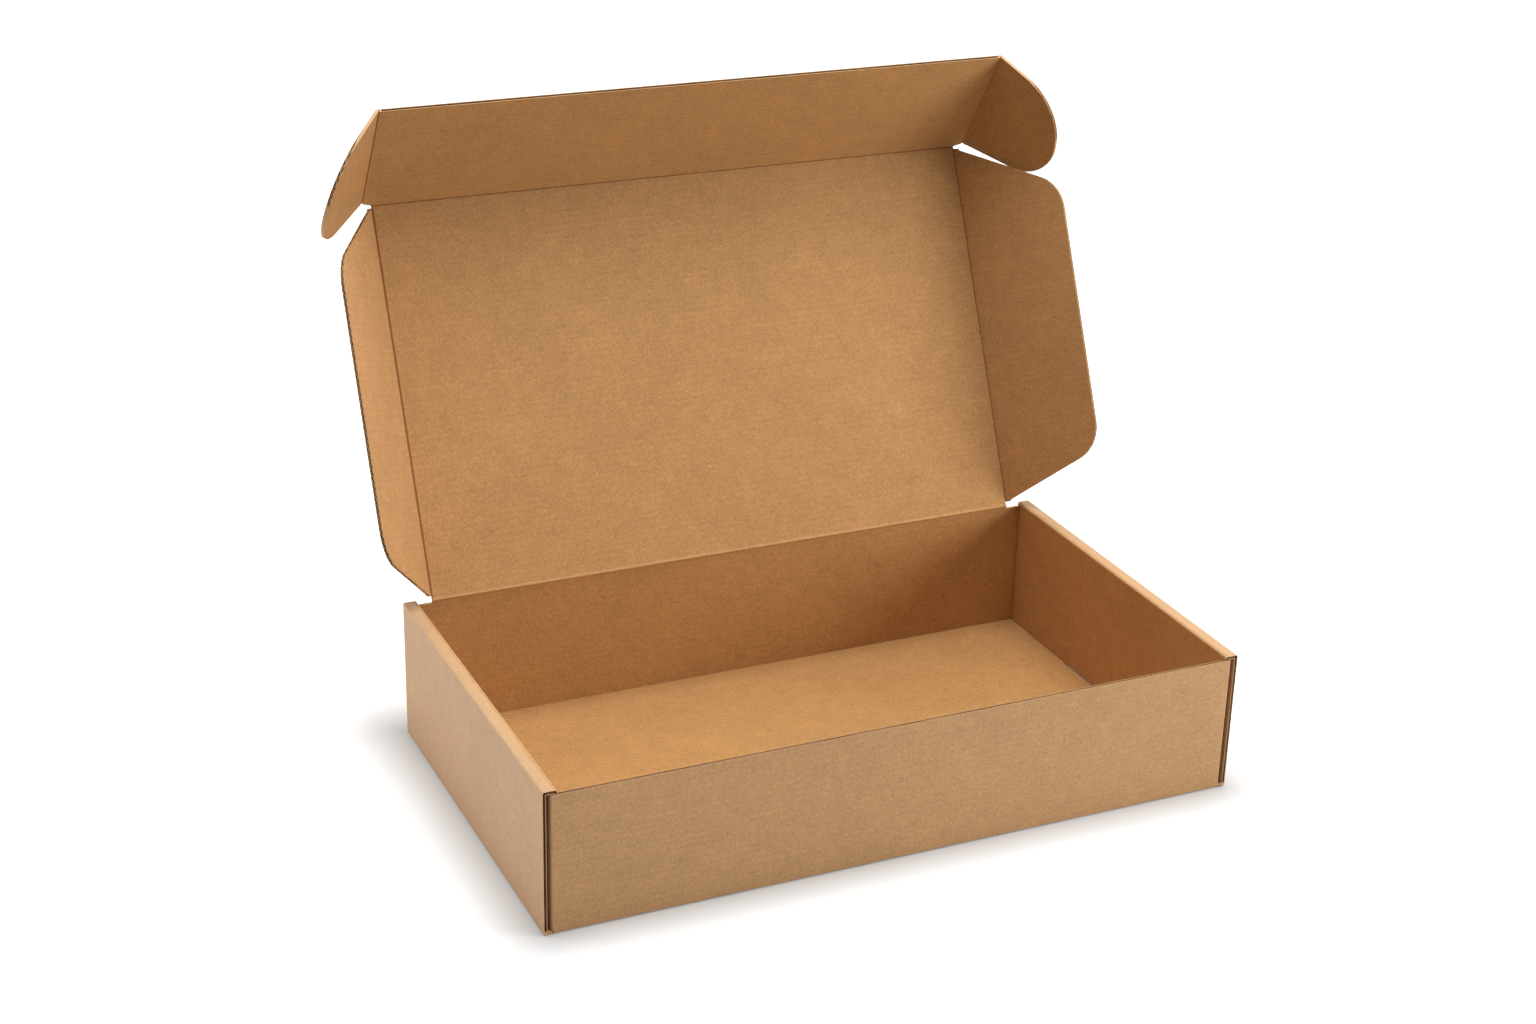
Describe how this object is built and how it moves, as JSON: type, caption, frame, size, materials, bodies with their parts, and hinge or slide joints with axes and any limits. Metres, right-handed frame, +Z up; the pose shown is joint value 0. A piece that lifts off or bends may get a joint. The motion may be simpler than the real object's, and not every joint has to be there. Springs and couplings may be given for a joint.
{
  "type": "open cardboard box",
  "caption": "Shallow kraft corrugated mailer box with rolled side walls, shown open: hinged lid with tuck flap, ears and side flaps.",
  "frame": {"origin": "middle of the tray's underside, on the table", "axes": "+X to the right along the front wall, -Y towards the front wall, +Y towards the lid's hinge, +Z up"},
  "size_m": [0.3912, 0.2811, 0.3049],
  "materials": {
    "tray_board": "matte",
    "lid_board": "matte",
    "flap_board": "matte"
  },
  "bodies": {
    "tray": {"tray": "tray_board"},
    "lid": {"lid_panel": "lid_board"},
    "tuck": {"tuck_flap": "flap_board"},
    "right_side_flap": {"side_flap_right": "flap_board"},
    "left_side_flap": {"side_flap_left": "flap_board"},
    "right_ear": {"ear_right": "flap_board"},
    "left_ear": {"ear_left": "flap_board"}
  },
  "joints": [
    {"name": "lid_hinge", "type": "hinge", "parent": "tray", "child": "lid", "pos_m": [0, 0.0992, 0.0702], "axis": [1, 0, 0], "range_deg": [-85, 114.5]},
    {"name": "tuck_fold", "type": "hinge", "parent": "lid", "child": "tuck", "pos_m": [0, 0.18027, 0.2481], "axis": [1, 0, 0], "range_deg": [-36.6, 49.3]},
    {"name": "right_side_fold", "type": "hinge", "parent": "lid", "child": "right_side_flap", "pos_m": [0.1616, 0.0992, 0.0702], "axis": [0, 0.4147, 0.91], "range_deg": [-59.6, 44.2]},
    {"name": "left_side_fold", "type": "hinge", "parent": "lid", "child": "left_side_flap", "pos_m": [-0.1616, 0.0992, 0.0702], "axis": [0, 0.4147, 0.91], "range_deg": [-47.6, 64.2]},
    {"name": "right_ear_fold", "type": "hinge", "parent": "tuck", "child": "right_ear", "pos_m": [0.1663, 0.18027, 0.2481], "axis": [0, -0.5505, 0.8348], "range_deg": [-33.4, 24.8]},
    {"name": "left_ear_fold", "type": "hinge", "parent": "tuck", "child": "left_ear", "pos_m": [-0.1663, 0.18027, 0.2481], "axis": [0, -0.5505, 0.8348], "range_deg": [-34.5, 46.4]}
  ],
  "couplings": [
    {"joint": "tuck_fold", "follows": "lid_hinge", "ratio": 0.43},
    {"joint": "right_side_fold", "follows": "lid_hinge", "ratio": -0.52},
    {"joint": "left_side_fold", "follows": "lid_hinge", "ratio": 0.56},
    {"joint": "right_ear_fold", "follows": "lid_hinge", "ratio": -0.291},
    {"joint": "left_ear_fold", "follows": "lid_hinge", "ratio": 0.405}
  ]
}
